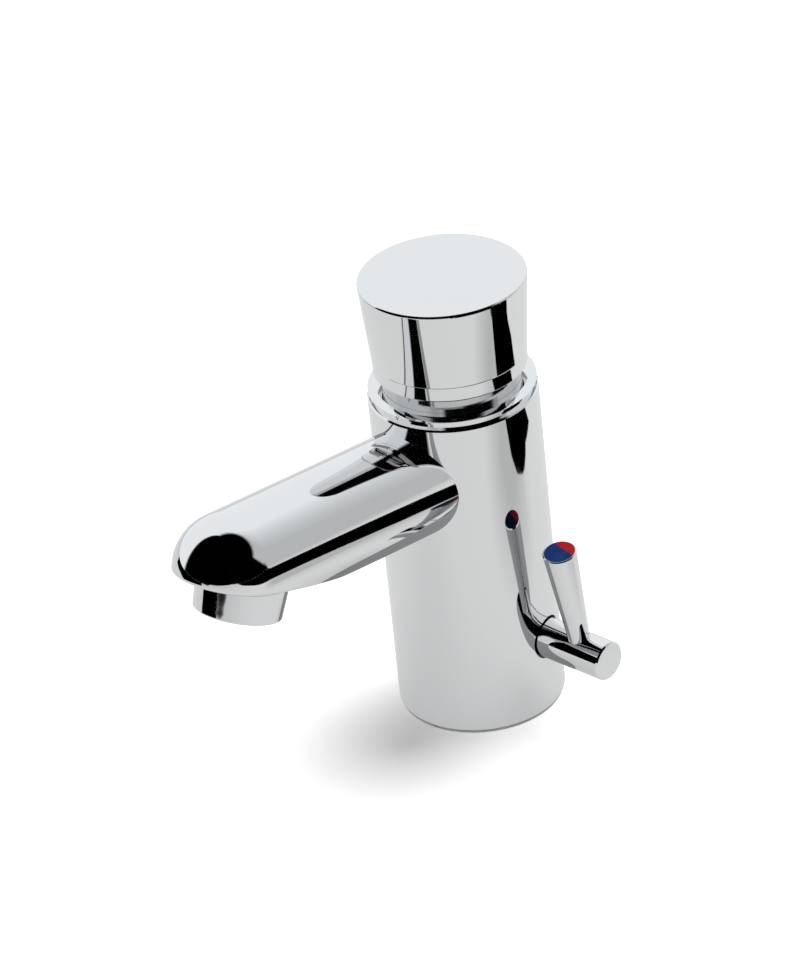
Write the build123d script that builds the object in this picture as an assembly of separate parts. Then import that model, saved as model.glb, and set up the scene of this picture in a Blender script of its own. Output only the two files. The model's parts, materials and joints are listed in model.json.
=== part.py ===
from build123d import *
import math
import os

# Push timed basin tap with a side temperature lever. Millimetres.
# The origin is on the body's axis at the mounting surface. +Z is up, the spout points to -Y,
# and the lever arm leaves the body towards +X.

# Clearances and one overrun for every cut
overrun = 5.0
assembly_clearance = 0.05   # between pieces fixed to each other
running_clearance = 0.07    # radial, between a shaft and what guides it
free_clearance = 0.35       # between pieces that pass without touching

# Body
body_r = 25.0
body_height = 105.0
body_edge = 0.5
base_seal_thickness = 0.7
base_seal_inset = 0.5
base_seal_width = 4.0

# Spout, a round tube that rises to a round nose
spout_r = 16.4
spout_root_drop = 20.8
spout_length = 72.0
spout_rise = 8.1
spout_bore_r = 7.0
nose_cut_angle = 22.0
nose_cut_drop = 3.6
nose_cut_round = 1.3

# Aerator, screwed square into the slanted face under the nose
outlet_setback = 4.6
aerator_foot_r = 12.9
aerator_draft = 3.5
aerator_rim_height = 10.4
aerator_thread_r = 11.0
aerator_thread_length = 7.0
aerator_bore_r = 9.6
aerator_lip_r = 9.0
aerator_lip_height = 1.0
aerator_insert_height = 13.4
aerator_floor = 2.0
aerator_hole = 1.9
aerator_web = 0.8
aerator_washer_thickness = 1.5
aerator_edge = 0.5
outlet_core_r = 8.5
outlet_core_height = 2.0

# Push button and the collar under it
button_travel = 4.4
collar_groove_height = 2.1
collar_groove_depth = 1.0
collar_inset = 0.3
collar_land = 0.5
collar_bevel_height = 0.7
collar_bevel_width = 2.3
button_lip_height = 4.7
button_lip_inset = 2.4
button_groove = 0.15
button_foot_inset = 2.25
button_rim_inset = 0.35
button_height = 29.8
button_rim_round = 0.8
button_dome = 0.5
button_wall = 1.95
button_top_wall = 3.6

# Water chambers in the body
chamber_wall = 6.0
chamber_depth = 45.0
valve_pocket_step = 1.5
valve_pocket_depth = 12.0
mixed_passage_r = 4.5
mixed_passage_offset = 5.0

# Cartridge housing
cartridge_seal_section = 2.4
cartridge_seal_depth = 1.8
cartridge_foot = 3.0
gallery_start = 12.0
gallery_end = 31.0
gallery_depth = 3.4
upper_seal_height = 34.0
seat_height = 6.0
seat_web = 3.0
seat_step = 2.5
seat_lip_height = 0.6
seat_lip_width = 1.2
cavity_share = 0.53
cavity_height = 13.0
guide_web = 2.0
cylinder_share = 0.71
cylinder_height = 27.5
neck_inset = 4.6
neck_height = 11.5
window_count = 6
window_width_share = 0.6
window_height = 8.0
cap_wall = 3.0
cap_hole_depth = 3.0
cap_hole_r = 1.3
metering_r = 0.9
metering_head_r = 1.8
metering_head_height = 1.0
metering_gap = 0.2

# Stem, piston and spring
stem_r = 4.0
stem_end_r = 3.0
stem_bush_r = 6.5
stem_bush_length = 1.7
stem_bush_flange_r = 8.0
stem_bush_flange = 0.5
stem_seal_height = 1.8
stem_collar_r = 6.0
stem_collar_height = 2.5
stem_screw_r = 1.9
stem_screw_depth = 12.0
piston_height = 7.8
piston_skirt_gap = 0.3
piston_stop_gap = 0.15
lip_seal_width = 2.8
lip_seal_height = 3.4
lip_seal_land = 2.2
circlip_r = 6.6
circlip_depth = 0.5
circlip_height = 1.1
circlip_recess_r = 7.3
circlip_recess_depth = 1.7
spring_wire_r = 0.9
spring_turns = 5.5
spring_end_gap = 0.1

# Valve under the seat
washer_height = 3.0
washer_step = 0.6
washer_gap = 0.1
valve_head_height = 3.0
valve_head_gap = 1.5
valve_nut_height = 2.8
valve_nut_flats = 10.0
stem_tail = 1.0

# Carrier inside the button
carrier_clearance_height = 6.0
carrier_hub_r = 7.0
carrier_hub_height = 8.5
carrier_socket_depth = 6.5
carrier_rim_gap = 0.4
carrier_rim_wall = 2.0
carrier_web_thickness = 2.5
carrier_web_lift = 1.6
carrier_rib_count = 6
carrier_rib_width = 1.6
snap_wire_r = 0.7
snap_ring_gap = 14.0
snap_bite = 0.9
button_screw_head_r = 3.6
button_screw_head_height = 2.8
button_screw_length = 8.0
button_screw_socket = 3.0

# Mixing valve across the body
arm_height = 24.5
arm_offset = 4.5
valve_bore_r = 6.6
feed_wall = 6.0
feed_step = 3.0
disc_seal_thickness = 1.2
disc_seal_wall = 0.9
disc_base_thickness = 2.8
disc_r = 6.2
disc_thickness = 3.0
disc_running_gap = 0.05
port_offset = 3.7
port_r = 1.6
mixing_slot_inner_r = 2.2
mixing_slot_outer_r = 5.1
drive_slot_width = 2.6
drive_slot_depth = 1.2
drive_slot_length = 7.4
spindle_plate_r = 5.9
spindle_plate_thickness = 3.0
spindle_waist_r = 3.2
spindle_flange_r = 5.6
spindle_flange_thickness = 2.0
thrust_washer_thickness = 0.5
spindle_r = 4.5
spindle_tip_r = 3.6
spindle_tip_length = 12.6
gland_r = 6.5
gland_recess = 3.5
gland_length = 9.5
gland_groove_start = 3.0
gland_groove_width = 2.4
gland_groove_depth = 1.3
gland_slot_width = 2.0
gland_slot_depth = 1.2

# Lever arm and temperature lever
arm_r = 6.0
arm_length = 23.2
arm_edge = 0.5
lever_gap = 12.7
lever_tilt = 9.0
lever_foot_r = 3.25
lever_top_r = 5.05
lever_length = 38.2
lever_edge = 0.3
lever_spigot_r = 2.5
lever_spigot_length = 5.2
index_r = 4.6
index_thickness = 0.8
index_split = 1.6
index_turn = -12.0
index_gap = 0.05
grub_gap = 4.5
grub_r = 2.0
grub_inset = 0.4
grub_flat_depth = 0.4
grub_socket = 2.0
grub_socket_depth = 1.0

# Base manifold
manifold_wall = 4.5
manifold_thickness = 12.0
manifold_fit = 0.1
gasket_thickness = 1.0
inlet_r = 5.0
inlet_length = 9.6
inlet_edge = 11.5
inlet_place_y = 7.0
filter_seat_r = 4.0
filter_height = 1.8
filter_wall = 0.8
stud_r = 4.0
stud_place = 10.0
gallery_slot_r = 2.2
gallery_slot_depth = 2.4
manifold_screw_r = 2.0
manifold_screw_head_r = 3.5
manifold_screw_head_height = 3.0
manifold_screw_inset = 0.6
manifold_screw_place_x = 2.0
manifold_screw_edge = 6.5
manifold_screw_length = 12.4
manifold_screw_slot = 0.9


# Radii and places worked out from the sizes
chamber_r = body_r - chamber_wall
chamber_floor = body_height - chamber_depth
spout_root_height = body_height - spout_root_drop
neck_r = body_r - neck_inset
cap_r = chamber_r - cap_wall
cylinder_r = cylinder_share * chamber_r
cavity_r = cavity_share * chamber_r
seat_r = cavity_r - seat_step
valve_pocket_r = cavity_r + valve_pocket_step
window_width = window_width_share * cavity_r
washer_r = cavity_r - washer_step
valve_head_r = valve_pocket_r - valve_head_gap
spring_r = (stem_r + cylinder_r) / 2
button_lip_r = body_r - button_lip_inset
button_foot_r = body_r - button_foot_inset
button_rim_r = body_r - button_rim_inset
carrier_rim_r = button_foot_r - button_wall - carrier_rim_gap
manifold_r = body_r - manifold_wall
inlet_place_x = inlet_edge - manifold_r
manifold_screw_place_y = manifold_r - manifold_screw_edge
lever_place = body_r + lever_gap
arm_reach = body_r + arm_length
grub_place = body_r + grub_gap

spout_direction = Vector(0, -math.cos(math.radians(spout_rise)), math.sin(math.radians(spout_rise)))
spout_plane = Plane(origin=(0, -body_r, spout_root_height), x_dir=(1, 0, 0), z_dir=spout_direction)
nose_centre = Vector(0, -body_r, spout_root_height) + spout_direction * spout_length
cut_direction = Vector(0, math.sin(math.radians(nose_cut_angle)), math.cos(math.radians(nose_cut_angle)))
outlet_drop = nose_cut_drop + outlet_setback * math.tan(math.radians(nose_cut_angle))
outlet_seat = nose_centre + Vector(0, outlet_setback, -outlet_drop)
outlet_plane = Plane(origin=outlet_seat, x_dir=(1, 0, 0), z_dir=cut_direction)
valve_plane = Plane(origin=(0, arm_offset, arm_height), x_dir=(0, 1, 0), z_dir=(1, 0, 0))
lever_plane = Plane(
    origin=(lever_place, arm_offset, arm_height),
    x_dir=(1, 0, 0),
    z_dir=(0, -math.sin(math.radians(lever_tilt)), math.cos(math.radians(lever_tilt))),
)

collar_top = body_height + collar_groove_height + collar_land + collar_bevel_height
button_foot = collar_top + button_travel + free_clearance
button_top = button_foot + button_height
button_ceiling = button_top - button_top_wall
lip_top = button_foot + button_lip_height

cartridge_r = chamber_r - assembly_clearance
seat_face = chamber_floor + seat_height
cavity_floor = seat_face + seat_web
guide_floor = cavity_floor + cavity_height
cylinder_floor = guide_floor + guide_web
cylinder_top = cylinder_floor + cylinder_height
neck_top = body_height + neck_height
piston_top = cylinder_top - piston_stop_gap
piston_foot = piston_top - piston_height
stem_shoulder = neck_top + carrier_clearance_height
washer_top = seat_face - seat_lip_height - washer_gap
washer_foot = washer_top - washer_height
valve_head_foot = washer_foot - valve_head_height
valve_nut_foot = valve_head_foot - valve_nut_height

feed_place = feed_wall - body_r
valve_bore_end = feed_place + feed_step
fixed_disc_start = valve_bore_end + disc_seal_thickness + disc_base_thickness
moving_disc_start = fixed_disc_start + disc_thickness + disc_running_gap
spindle_start = moving_disc_start + disc_thickness + assembly_clearance
gland_face = body_r - gland_recess
gland_start = gland_face - gland_length
spindle_flange_start = gland_start - thrust_washer_thickness - spindle_flange_thickness
arm_start = gland_face + free_clearance
recess_ceiling = manifold_thickness + gasket_thickness

sides = (-1, 1)


def turned(*corners):
    """Solid of revolution about +Z from the (radius, height) corners of its half section."""
    outline = Polyline(*[(r, 0, z) for r, z in corners], close=True)
    return revolve(make_face(outline), Axis.Z)


def sleeve(outer_r, inner_r, bottom, top):
    return turned((inner_r, bottom), (outer_r, bottom), (outer_r, top), (inner_r, top))


def rod(radius, bottom, top):
    return Pos(0, 0, bottom) * Cylinder(radius, top - bottom, align=(Align.CENTER, Align.CENTER, Align.MIN))


def hexagon(flats, bottom, top):
    sketch = Pos(0, 0, bottom) * RegularPolygon(flats / 2, 6, major_radius=False)
    return extrude(sketch, amount=top - bottom)


# Body


def spout():
    """Rising tube with a round nose, cut flat below on a slant for the aerator."""
    # The tube starts on the body's axis and is measured along the spout from the body's face.
    tube = spout_plane * rod(spout_r, -body_r, spout_length)
    solid = tube + Pos(*nose_centre) * Sphere(spout_r)
    block_size = 4 * spout_length
    block = Box(block_size, block_size, block_size, align=(Align.CENTER, Align.CENTER, Align.MAX))
    below = outlet_plane * block
    solid = solid - below
    cut_face = max(
        (face for face in solid.faces() if face.geom_type == GeomType.PLANE),
        key=lambda face: abs(face.normal_at(face.center()).dot(cut_direction)),
    )
    return fillet(cut_face.edges(), nose_cut_round)


def spout_waterways():
    """Bore of the spout, the aerator's thread and the core that joins them."""
    washer_seat = aerator_thread_length + aerator_washer_thickness
    thread = rod(aerator_thread_r, -overrun, washer_seat)
    core = rod(outlet_core_r, 0, washer_seat + outlet_core_height)
    bore = spout_plane * rod(spout_bore_r, -body_r + chamber_r / 2, spout_length - outlet_setback)
    return bore + outlet_plane * (thread + core)


def mixing_waterways():
    """Cross bore for the mixing valve, its hot and cold feeds and the way up to the cartridge."""
    cuts = valve_plane * rod(valve_bore_r, valve_bore_end, body_r + overrun)
    cuts += Pos(mixed_passage_offset, arm_offset, 0) * rod(
        mixed_passage_r, arm_height, chamber_floor - valve_pocket_depth + overrun
    )
    for side in sides:
        port_place = arm_offset + side * port_offset
        cuts += Pos(feed_place, port_place, 0) * rod(gallery_slot_r, recess_ceiling, arm_height + port_r)
        port = valve_plane * rod(port_r, feed_place, valve_bore_end + port_r)
        cuts += Pos(0, side * port_offset, 0) * port
        inlet = Vector(inlet_place_x, side * inlet_place_y)
        run = Vector(feed_place, port_place) - inlet
        turn = math.degrees(math.atan2(run.Y, run.X))
        slot = SlotCenterToCenter(run.length, 2 * gallery_slot_r, rotation=turn)
        middle = inlet + run / 2
        cuts += extrude(Pos(middle.X, middle.Y, recess_ceiling) * slot, amount=gallery_slot_depth)
    return cuts


def manifold_screw_spots():
    return [Pos(manifold_screw_place_x, side * manifold_screw_place_y, 0) for side in sides]


def body():
    barrel = rod(body_r, base_seal_thickness, body_height)
    barrel = chamfer(barrel.edges().filter_by(GeomType.CIRCLE), body_edge)
    solid = barrel + spout()
    chamber = rod(chamber_r, chamber_floor, body_height + overrun)
    pocket = rod(valve_pocket_r, chamber_floor - valve_pocket_depth, chamber_floor + overrun)
    recess = rod(manifold_r + manifold_fit, base_seal_thickness - overrun, recess_ceiling)
    solid -= chamber + pocket + recess
    solid -= spout_waterways()
    solid -= mixing_waterways()
    screw_top = manifold_screw_inset + manifold_screw_head_height + manifold_screw_length + assembly_clearance
    for spot in manifold_screw_spots():
        solid -= spot * rod(manifold_screw_r + assembly_clearance, recess_ceiling - overrun, screw_top)
    return solid


def base_seal():
    outer_r = body_r - base_seal_inset
    return sleeve(outer_r, outer_r - base_seal_width, 0, base_seal_thickness)


# Manifold and what it carries


def inlet_spots():
    return [Pos(inlet_place_x, side * inlet_place_y, 0) for side in sides]


def inlet_manifold():
    solid = rod(manifold_r, 0, manifold_thickness)
    for spot in inlet_spots():
        solid -= spot * rod(inlet_r, -overrun, inlet_length)
        solid -= spot * rod(filter_seat_r, 0, manifold_thickness + overrun)
    solid -= Pos(stud_place, 0, 0) * rod(stud_r, -overrun, manifold_thickness + overrun)
    head_top = manifold_screw_inset + manifold_screw_head_height
    for spot in manifold_screw_spots():
        solid -= spot * rod(manifold_screw_r + manifold_fit, 0, manifold_thickness + overrun)
        solid -= spot * rod(manifold_screw_head_r + manifold_fit, -overrun, head_top)
    return solid


def manifold_gasket():
    solid = rod(manifold_r, manifold_thickness, recess_ceiling)
    for spot in inlet_spots():
        solid -= spot * rod(filter_seat_r, 0, recess_ceiling + overrun)
    for spot in manifold_screw_spots():
        solid -= spot * rod(manifold_screw_r + manifold_fit, 0, recess_ceiling + overrun)
    return solid


def manifold_screws():
    """Two slotted cheese head screws, driven from below."""
    head_top = manifold_screw_inset + manifold_screw_head_height
    screw = rod(manifold_screw_head_r, manifold_screw_inset, head_top)
    screw += rod(manifold_screw_r, head_top, head_top + manifold_screw_length)
    slot = Pos(0, 0, manifold_screw_inset) * Box(
        4 * manifold_screw_head_r, manifold_screw_slot, manifold_screw_head_height
    )
    screw -= slot
    return Compound(children=[spot * screw for spot in manifold_screw_spots()])


def inlet_filters():
    """Two cup strainers with a cross of bars, pushed into the inlets."""
    radius = filter_seat_r - assembly_clearance
    foot = inlet_length + assembly_clearance
    strainer = sleeve(radius, radius - filter_wall, foot, foot + filter_height)
    for turn in (0, 60, 120):
        bar = Rot(Z=turn) * Box(2 * radius - filter_wall, filter_wall, filter_wall)
        strainer += Pos(0, 0, foot + filter_wall / 2) * bar
    return Compound(children=[spot * strainer for spot in inlet_spots()])


# Collar and cartridge


def collar_ring():
    """Ring on the body's top: a groove below, then a land and a bevel that narrows to the button."""
    inner_r = neck_r + assembly_clearance
    outer_r = body_r - collar_inset
    groove_top = body_height + collar_groove_height
    land_top = groove_top + collar_land
    return turned(
        (inner_r, body_height),
        (outer_r - collar_groove_depth, body_height),
        (outer_r - collar_groove_depth, groove_top),
        (outer_r, groove_top),
        (outer_r, land_top),
        (outer_r - collar_bevel_width, collar_top),
        (inner_r, collar_top),
    )


def cartridge_housing():
    """Turned brass: seat, outlet cavity with windows, timing cylinder and the neck under the button."""
    gallery_r = cartridge_r - gallery_depth
    groove_r = cartridge_r - cartridge_seal_depth
    lower_groove = chamber_floor + cartridge_foot
    upper_groove = chamber_floor + upper_seal_height
    solid = turned(
        (valve_pocket_r, chamber_floor),
        (cartridge_r, chamber_floor),
        (cartridge_r, lower_groove),
        (groove_r, lower_groove),
        (groove_r, lower_groove + cartridge_seal_section),
        (cartridge_r, lower_groove + cartridge_seal_section),
        (cartridge_r, chamber_floor + gallery_start),
        (gallery_r, chamber_floor + gallery_start),
        (gallery_r, chamber_floor + gallery_end),
        (cartridge_r, chamber_floor + gallery_end),
        (cartridge_r, upper_groove),
        (groove_r, upper_groove),
        (groove_r, upper_groove + cartridge_seal_section),
        (cartridge_r, upper_groove + cartridge_seal_section),
        (cartridge_r, body_height),
        (neck_r, body_height),
        (neck_r, neck_top),
        (cap_r, neck_top),
        (cap_r, cylinder_top),
        (cylinder_r, cylinder_top),
        (cylinder_r, cylinder_floor),
        (stem_r + running_clearance, cylinder_floor),
        (stem_r + running_clearance, guide_floor),
        (cavity_r, guide_floor),
        (cavity_r, cavity_floor),
        (seat_r, cavity_floor),
        (seat_r, seat_face - seat_lip_height),
        (seat_r + seat_lip_width, seat_face - seat_lip_height),
        (seat_r + seat_lip_width, seat_face),
        (valve_pocket_r, seat_face),
    )
    window_middle = (cavity_floor + guide_floor) / 2
    for index in range(window_count):
        window = Box(2 * (chamber_r - cavity_r) + overrun, window_width, window_height)
        window = Pos(chamber_r, 0, window_middle) * window
        solid -= Rot(Z=index * 360 / window_count) * window
    bleed = rod(metering_r + assembly_clearance, guide_floor - overrun, cylinder_floor + overrun)
    solid -= metering_spot() * bleed
    return solid


def metering_spot():
    return Pos(stem_r + metering_gap + metering_head_r, 0, 0)


def metering_pin():
    """Headed pin in the bleed hole; the thread of water round it sets the flow time."""
    pin = rod(metering_r, guide_floor, cylinder_floor)
    head = rod(metering_head_r, guide_floor - metering_head_height, guide_floor)
    return metering_spot() * (pin + head)


def cartridge_seal(start):
    """Rubber ring of a rounded section that fills its groove and meets the chamber's wall."""
    inner_r = cartridge_r - cartridge_seal_depth
    ring = sleeve(chamber_r, inner_r, start, start + cartridge_seal_section)
    return fillet(ring.edges(), cartridge_seal_section / 4)


def cartridge_cap():
    """Screwed plug that closes the cylinder and holds the stem's seal and bush."""
    pocket_floor = neck_top - stem_seal_height - stem_bush_length
    solid = turned(
        (stem_r + free_clearance, cylinder_top),
        (cap_r - assembly_clearance, cylinder_top),
        (cap_r - assembly_clearance, neck_top),
        (stem_bush_r + assembly_clearance, neck_top),
        (stem_bush_r + assembly_clearance, pocket_floor),
        (stem_r + free_clearance, pocket_floor),
    )
    key_place = (cap_r + stem_bush_flange_r) / 2
    for side in sides:
        solid -= Pos(0, side * key_place, 0) * rod(cap_hole_r, neck_top - cap_hole_depth, neck_top + overrun)
    return solid


def stem_seal():
    foot = neck_top - stem_seal_height - stem_bush_length
    return sleeve(stem_bush_r, stem_r + running_clearance, foot, foot + stem_seal_height)


def stem_bush():
    """Flanged plastic bush that guides the stem."""
    bore_r = stem_r + running_clearance
    foot = neck_top - stem_bush_length
    return turned(
        (bore_r, foot),
        (stem_bush_r, foot),
        (stem_bush_r, neck_top),
        (stem_bush_flange_r, neck_top),
        (stem_bush_flange_r, neck_top + stem_bush_flange),
        (bore_r, neck_top + stem_bush_flange),
    )


# Stem, piston and valve, which move with the button


def stem():
    """Turned stem: valve thread, guide, collar under the piston, circlip groove and carrier tip."""
    circlip_foot = piston_top - circlip_recess_depth
    tip_top = stem_shoulder + carrier_socket_depth
    groove_r = stem_r - circlip_depth
    solid = turned(
        (0, valve_nut_foot - stem_tail),
        (stem_end_r, valve_nut_foot - stem_tail),
        (stem_end_r, washer_top),
        (stem_r, washer_top),
        (stem_r, piston_foot - stem_collar_height),
        (stem_collar_r, piston_foot - stem_collar_height),
        (stem_collar_r, piston_foot),
        (stem_r, piston_foot),
        (stem_r, circlip_foot),
        (groove_r, circlip_foot),
        (groove_r, circlip_foot + circlip_height),
        (stem_r, circlip_foot + circlip_height),
        (stem_r, stem_shoulder),
        (stem_end_r, stem_shoulder),
        (stem_end_r, tip_top),
        (0, tip_top),
    )
    return solid - rod(stem_screw_r + assembly_clearance, tip_top - stem_screw_depth, tip_top + overrun)


def piston():
    outer_r = cylinder_r - piston_skirt_gap
    groove_r = outer_r - lip_seal_width
    groove_foot = piston_foot + lip_seal_land
    bore_r = stem_r + assembly_clearance
    recess_floor = piston_top - circlip_recess_depth
    return turned(
        (bore_r, piston_foot),
        (outer_r, piston_foot),
        (outer_r, groove_foot),
        (groove_r, groove_foot),
        (groove_r, groove_foot + lip_seal_height),
        (outer_r, groove_foot + lip_seal_height),
        (outer_r, piston_top),
        (circlip_recess_r, piston_top),
        (circlip_recess_r, recess_floor),
        (bore_r, recess_floor),
    )


def piston_lip_seal():
    """Cup seal: a heel in the groove and a lip that leans out to the cylinder wall."""
    inner_r = cylinder_r - piston_skirt_gap - lip_seal_width
    heel_r = cylinder_r - piston_skirt_gap
    lip_r = cylinder_r - running_clearance
    foot = piston_foot + lip_seal_land
    top = foot + lip_seal_height
    third = lip_seal_height / 3
    return turned(
        (inner_r, foot),
        (lip_r, foot),
        (lip_r, foot + third),
        (heel_r, foot + 2 * third),
        (heel_r, top),
        (inner_r, top),
    )


def stem_circlip():
    foot = piston_top - circlip_recess_depth
    ring = sleeve(circlip_r, stem_r - circlip_depth, foot, foot + circlip_height)
    mouth = Pos(circlip_r, 0, foot + circlip_height / 2) * Box(2 * circlip_r, stem_r, 2 * circlip_height)
    return ring - mouth


def return_spring():
    """Compression spring between the guide web and the piston."""
    bottom = cylinder_floor + spring_end_gap + spring_wire_r
    top = piston_foot - spring_end_gap - spring_wire_r
    height = top - bottom
    path = Pos(0, 0, bottom) * Helix(pitch=height / spring_turns, height=height, radius=spring_r)
    section = Plane(origin=path @ 0, z_dir=path % 0) * Circle(spring_wire_r)
    return sweep(section, path=path, is_frenet=True)


def valve_washer():
    return sleeve(washer_r, stem_end_r + assembly_clearance, washer_foot, washer_top)


def valve_head():
    """Brass plate behind the washer, bevelled below."""
    bore_r = stem_end_r + assembly_clearance
    bevel = valve_head_height / 3
    return turned(
        (bore_r, valve_head_foot),
        (valve_head_r - bevel, valve_head_foot),
        (valve_head_r, valve_head_foot + bevel),
        (valve_head_r, washer_foot),
        (bore_r, washer_foot),
    )


def valve_nut():
    nut = hexagon(valve_nut_flats, valve_nut_foot, valve_head_foot)
    return nut - rod(stem_end_r + assembly_clearance, valve_nut_foot - overrun, valve_head_foot + overrun)


# Button and its carrier


def snap_ring_height():
    """The wire stays above the neck when the button is down."""
    return neck_top + button_travel + free_clearance + 2 * snap_wire_r


def push_button():
    """Chromed shell: a straight lip, a fine groove, a side that flares to the rim, and a domed top."""
    rim_height = button_top - button_dome
    corner = button_lip_height / 8
    flare = Vector(button_rim_r - button_foot_r, rim_height - lip_top).normalized()
    rim_start = Vector(button_rim_r, rim_height) - flare * button_rim_round
    side = Polyline(
        (0, button_top),
        (0, button_foot),
        (button_lip_r - corner, button_foot),
        (button_lip_r, button_foot + corner),
        (button_lip_r, lip_top - button_groove),
        (button_lip_r - button_groove, lip_top),
        (button_foot_r, lip_top + button_groove),
        (rim_start.X, rim_start.Y),
    )
    rim = JernArc(start=(rim_start.X, rim_start.Y), tangent=flare, radius=button_rim_round, arc_size=90)
    rim_end = rim @ 1
    # The dome is part of a sphere that is centred on the axis.
    drop = button_top - rim_end.Y
    dome_r = (rim_end.X**2 + drop**2) / (2 * drop)
    half_angle = math.asin(rim_end.X / dome_r) / 2
    dome_middle = (dome_r * math.sin(half_angle), button_top - dome_r * (1 - math.cos(half_angle)))
    dome = ThreePointArc((rim_end.X, rim_end.Y), dome_middle, (0, button_top))
    half_section = Plane.XZ * make_face(side + rim + dome)
    solid = revolve(half_section, Axis.Z)
    wall_slope = (button_rim_r - button_foot_r) / (rim_height - lip_top)
    inner_foot_r = neck_r + free_clearance
    hollow = turned(
        (0, button_foot - overrun),
        (inner_foot_r, button_foot - overrun),
        (inner_foot_r, lip_top),
        (button_foot_r - button_wall, lip_top),
        (button_foot_r - button_wall + wall_slope * (button_ceiling - lip_top), button_ceiling),
        (0, button_ceiling),
    )
    seat = snap_ring_height()
    groove_r = button_foot_r - button_wall + snap_bite
    snap_groove = rod(groove_r, seat - snap_wire_r, seat + snap_wire_r)
    return solid - hollow - snap_groove


def button_insert():
    """Carrier: hub on the stem, web, ribs and a rim that bears on the ceiling of the button."""
    rim_foot = snap_ring_height() + snap_wire_r
    web_foot = rim_foot + carrier_web_lift
    hub_top = stem_shoulder + carrier_hub_height
    rim_inner_r = carrier_rim_r - carrier_rim_wall
    solid = sleeve(carrier_rim_r, rim_inner_r, rim_foot, button_ceiling)
    solid += rod(carrier_hub_r, stem_shoulder, hub_top)
    solid += sleeve(rim_inner_r, carrier_hub_r, web_foot, web_foot + carrier_web_thickness)
    rib_height = hub_top - web_foot
    rib_length = rim_inner_r - carrier_hub_r + carrier_rim_wall
    rib = Pos((rim_inner_r + carrier_hub_r) / 2, 0, web_foot + rib_height / 2) * Box(
        rib_length, carrier_rib_width, rib_height
    )
    for index in range(carrier_rib_count):
        solid += Rot(Z=index * 360 / carrier_rib_count) * rib
    socket = rod(stem_end_r + assembly_clearance, stem_shoulder - overrun, stem_shoulder + carrier_socket_depth)
    screw_hole = rod(stem_screw_r + assembly_clearance, stem_shoulder, hub_top + overrun)
    return solid - socket - screw_hole


def button_screw():
    """Socket head screw down through the hub into the stem."""
    head_foot = stem_shoulder + carrier_hub_height
    head_top = head_foot + button_screw_head_height
    solid = rod(button_screw_head_r, head_foot, head_top)
    solid += rod(stem_screw_r, head_foot - button_screw_length, head_foot)
    return solid - hexagon(button_screw_socket, head_top - button_screw_head_height / 2, head_top + overrun)


def button_snap_ring():
    """Open wire ring in the shell's groove, under the carrier's rim."""
    ring_r = button_foot_r - button_wall + snap_bite - snap_wire_r - assembly_clearance
    path = CenterArc((0, 0), ring_r, 90 + snap_ring_gap, 360 - 2 * snap_ring_gap)
    path = Pos(0, 0, snap_ring_height()) * path
    section = Plane(origin=path @ 0, z_dir=path % 0) * Circle(snap_wire_r - assembly_clearance)
    return sweep(section, path=path)


# Aerator


def aerator_housing():
    """Tapered ring with a sleeve that screws into the nose; a lip below keeps the grid in."""
    sleeve_r = aerator_thread_r - assembly_clearance
    rim_top_r = aerator_foot_r + aerator_rim_height * math.tan(math.radians(aerator_draft))
    foot = -aerator_rim_height
    lip_top_height = foot + aerator_lip_height
    return outlet_plane * turned(
        (aerator_lip_r, foot),
        (aerator_foot_r - aerator_edge, foot),
        (aerator_foot_r, foot + aerator_edge),
        (rim_top_r, 0),
        (sleeve_r, 0),
        (sleeve_r, aerator_thread_length),
        (aerator_bore_r, aerator_thread_length),
        (aerator_bore_r, lip_top_height),
        (aerator_lip_r, lip_top_height),
    )


def aerator_insert():
    """Cup with a floor of square jets, as many as lie inside its wall."""
    foot = aerator_lip_height - aerator_rim_height
    radius = aerator_bore_r - assembly_clearance
    solid = rod(radius, foot, foot + aerator_insert_height)
    inner_r = aerator_lip_r - aerator_web
    solid -= rod(inner_r, foot + aerator_floor, foot + aerator_insert_height + overrun)
    pitch = aerator_hole + aerator_web
    count = int(inner_r / pitch)
    jets = []
    for row in range(-count, count + 1):
        for column in range(-count, count + 1):
            reach = math.hypot(abs(row) * pitch + aerator_hole / 2, abs(column) * pitch + aerator_hole / 2)
            if reach < inner_r:
                jet = Box(aerator_hole, aerator_hole, 3 * aerator_floor)
                jets.append(Pos(column * pitch, row * pitch, foot) * jet)
    return outlet_plane * (solid - jets)


def aerator_washer():
    outer_r = aerator_thread_r - assembly_clearance
    top = aerator_thread_length + aerator_washer_thickness
    return outlet_plane * sleeve(outer_r, outlet_core_r, aerator_thread_length, top)


# Mixing valve, each piece turned on the cross axis


def disc_seals():
    """Two rubber rings round the hot and cold ports."""
    start = valve_bore_end
    ring = sleeve(port_r + disc_seal_wall, port_r, start, start + disc_seal_thickness)
    return Compound(children=[valve_plane * (Pos(side * port_offset, 0, 0) * ring) for side in sides])


def ported(solid, start, end):
    for side in sides:
        solid -= Pos(side * port_offset, 0, 0) * rod(port_r, start - overrun, end + overrun)
    return solid


def disc_base():
    start = valve_bore_end + disc_seal_thickness
    solid = rod(valve_bore_r - manifold_fit, start, fixed_disc_start)
    return valve_plane * ported(solid, start, fixed_disc_start)


def fixed_disc():
    end = fixed_disc_start + disc_thickness
    return valve_plane * ported(rod(disc_r, fixed_disc_start, end), fixed_disc_start, end)


def lever_turn():
    """Turn about the cross axis from the middle of the range to the rest place of the lever."""
    return Rot(Z=lever_tilt)


def drive_key(width, length, start, end):
    return Pos(0, 0, (start + end) / 2) * Box(width, length, end - start)


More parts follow.
